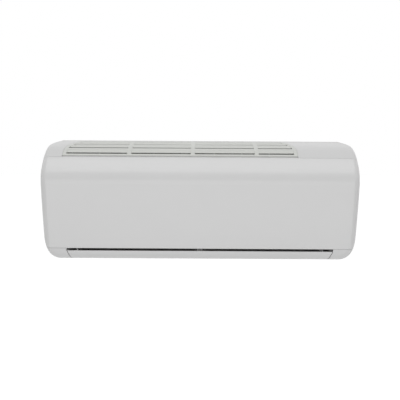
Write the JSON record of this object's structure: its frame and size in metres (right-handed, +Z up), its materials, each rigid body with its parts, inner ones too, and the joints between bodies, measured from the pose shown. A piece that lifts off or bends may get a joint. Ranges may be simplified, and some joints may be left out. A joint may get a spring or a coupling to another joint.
{
  "type": "mini split indoor unit",
  "caption": "Wall-hung indoor air conditioner with a hinged front panel, top intake grille, outlet flap, air vanes, filters, coil and cross-flow fan.",
  "frame": {"origin": "centre of the wall plate's four screw holes, on the wall plane", "axes": "+X along the unit to its right end seen from the room, +Y into the wall, +Z up"},
  "size_m": [0.7856, 0.1959, 0.27],
  "materials": {
    "casing": "smooth white plastic, soft sheen",
    "chassis": "matt light grey plastic",
    "vane": "matt light grey plastic",
    "galvanised": "zinc-plated sheet",
    "fins": "thin bare fins",
    "copper": "bare copper tube",
    "brass": "machined",
    "foam": "closed-cell foam",
    "fan": "dark glass-filled plastic",
    "steel": "bright steel",
    "bearing": "rubber-bushed",
    "filter_frame": "pale plastic",
    "filter_mesh": "fine nylon net",
    "control": "flame-retardant plastic",
    "board": "lacquered board",
    "parts": "moulded components"
  },
  "bodies": {
    "mount": {"wall_plate": "galvanised"},
    "unit": {"rear_chassis": "chassis", "front_frame": "casing", "intake_grille": "casing", "outlet_duct": "chassis", "drain_pan": "chassis", "coil_front": "fins", "coil_top": "fins", "coil_rear": "fins", "coil_plate_left": "galvanised", "coil_plate_right": "galvanised", "coil_tubes": "copper", "coil_seal": "foam", "suction_pipe": "copper", "liquid_pipe": "copper", "flare_nuts": "brass", "pipe_clamp": "chassis", "fan_bearing": "bearing", "fan_motor": "galvanised", "motor_mount": "chassis", "motor_band": "galvanised", "flap_motor": "galvanised", "flap_support": "chassis", "control_box": "control", "control_board": "board", "board_components": "parts", "terminal_block": "control", "electric_cover": "casing", "switch_board": "board", "display_module": "parts", "cover_screws": "steel", "frame_screws": "steel", "temperature_sensor": "copper"},
    "panel": {"front_panel": "casing"},
    "flap": {"flap": "casing", "flap_drive_shaft": "steel"},
    "fan": {"fan_wheel": "fan", "fan_stub_shaft": "steel", "motor_shaft": "steel"},
    "button": {"manual_button": "casing"},
    "filter_left": {"filter_frame_left": "filter_frame", "filter_mesh_left": "filter_mesh"},
    "link_left": {"link_bar_left": "vane"},
    "vane_left_1": {"vane_left_1": "vane"},
    "vane_left_2": {"vane_left_2": "vane"},
    "vane_left_3": {"vane_left_3": "vane"},
    "vane_left_4": {"vane_left_4": "vane"},
    "vane_left_5": {"vane_left_5": "vane"},
    "filter_right": {"filter_frame_right": "filter_frame", "filter_mesh_right": "filter_mesh"},
    "link_right": {"link_bar_right": "vane"},
    "vane_right_1": {"vane_right_1": "vane"},
    "vane_right_2": {"vane_right_2": "vane"},
    "vane_right_3": {"vane_right_3": "vane"},
    "vane_right_4": {"vane_right_4": "vane"},
    "vane_right_5": {"vane_right_5": "vane"}
  },
  "joints": [
    {"name": "unit_lift", "type": "slide", "parent": "mount", "child": "unit", "axis": [0, 0, 1], "range_m": [0, 0.012]},
    {"name": "panel_hinge", "type": "hinge", "parent": "unit", "child": "panel", "pos_m": [0, -0.143, 0.099], "axis": [-1, 0, 0], "range_deg": [0, 65]},
    {"name": "flap_hinge", "type": "hinge", "parent": "unit", "child": "flap", "pos_m": [0, -0.114, -0.13], "axis": [1, 0, 0], "range_deg": [0, 75]},
    {"name": "fan_spin", "type": "hinge", "parent": "unit", "child": "fan", "pos_m": [0, -0.088, -0.042], "axis": [1, 0, 0], "continuous": true},
    {"name": "button_press", "type": "slide", "parent": "unit", "child": "button", "axis": [0, 1, 0], "range_m": [0, 0.0015], "stiffness_N_per_m": 800},
    {"name": "filter_left_release", "type": "hinge", "parent": "unit", "child": "filter_left", "pos_m": [0, -0.03, -0.035], "axis": [-1, 0, 0], "range_deg": [0, 3]},
    {"name": "vane_left_1_turn", "type": "hinge", "parent": "unit", "child": "vane_left_1", "pos_m": [-0.302, -0.08164, -0.11342], "axis": [0, -0.7071, 0.7071], "range_deg": [-30, 30]},
    {"name": "vane_left_2_turn", "type": "hinge", "parent": "unit", "child": "vane_left_2", "pos_m": [-0.244, -0.08164, -0.11342], "axis": [0, -0.7071, 0.7071], "range_deg": [-30, 30]},
    {"name": "vane_left_3_turn", "type": "hinge", "parent": "unit", "child": "vane_left_3", "pos_m": [-0.186, -0.08164, -0.11342], "axis": [0, -0.7071, 0.7071], "range_deg": [-30, 30]},
    {"name": "vane_left_4_turn", "type": "hinge", "parent": "unit", "child": "vane_left_4", "pos_m": [-0.128, -0.08164, -0.11342], "axis": [0, -0.7071, 0.7071], "range_deg": [-30, 30]},
    {"name": "vane_left_5_turn", "type": "hinge", "parent": "unit", "child": "vane_left_5", "pos_m": [-0.07, -0.08164, -0.11342], "axis": [0, -0.7071, 0.7071], "range_deg": [-30, 30]},
    {"name": "link_left_slide", "type": "slide", "parent": "unit", "child": "link_left", "axis": [1, 0, 0], "range_m": [-0.0095, 0.0095]},
    {"name": "filter_right_release", "type": "hinge", "parent": "unit", "child": "filter_right", "pos_m": [0, -0.03, -0.035], "axis": [-1, 0, 0], "range_deg": [0, 3]},
    {"name": "vane_right_1_turn", "type": "hinge", "parent": "unit", "child": "vane_right_1", "pos_m": [0.018, -0.08164, -0.11342], "axis": [0, -0.7071, 0.7071], "range_deg": [-30, 30]},
    {"name": "vane_right_2_turn", "type": "hinge", "parent": "unit", "child": "vane_right_2", "pos_m": [0.076, -0.08164, -0.11342], "axis": [0, -0.7071, 0.7071], "range_deg": [-30, 30]},
    {"name": "vane_right_3_turn", "type": "hinge", "parent": "unit", "child": "vane_right_3", "pos_m": [0.134, -0.08164, -0.11342], "axis": [0, -0.7071, 0.7071], "range_deg": [-30, 30]},
    {"name": "vane_right_4_turn", "type": "hinge", "parent": "unit", "child": "vane_right_4", "pos_m": [0.192, -0.08164, -0.11342], "axis": [0, -0.7071, 0.7071], "range_deg": [-30, 30]},
    {"name": "vane_right_5_turn", "type": "hinge", "parent": "unit", "child": "vane_right_5", "pos_m": [0.25, -0.08164, -0.11342], "axis": [0, -0.7071, 0.7071], "range_deg": [-30, 30]},
    {"name": "link_right_slide", "type": "slide", "parent": "unit", "child": "link_right", "axis": [1, 0, 0], "range_m": [-0.0095, 0.0095]}
  ],
  "couplings": [
    {"joint": "vane_left_2_turn", "follows": "vane_left_1_turn", "ratio": 1},
    {"joint": "vane_left_3_turn", "follows": "vane_left_1_turn", "ratio": 1},
    {"joint": "vane_left_4_turn", "follows": "vane_left_1_turn", "ratio": 1},
    {"joint": "vane_left_5_turn", "follows": "vane_left_1_turn", "ratio": 1},
    {"joint": "link_left_slide", "follows": "vane_left_1_turn", "m_per_rad": 0.018},
    {"joint": "vane_right_2_turn", "follows": "vane_right_1_turn", "ratio": 1},
    {"joint": "vane_right_3_turn", "follows": "vane_right_1_turn", "ratio": 1},
    {"joint": "vane_right_4_turn", "follows": "vane_right_1_turn", "ratio": 1},
    {"joint": "vane_right_5_turn", "follows": "vane_right_1_turn", "ratio": 1},
    {"joint": "link_right_slide", "follows": "vane_right_1_turn", "m_per_rad": 0.018}
  ]
}
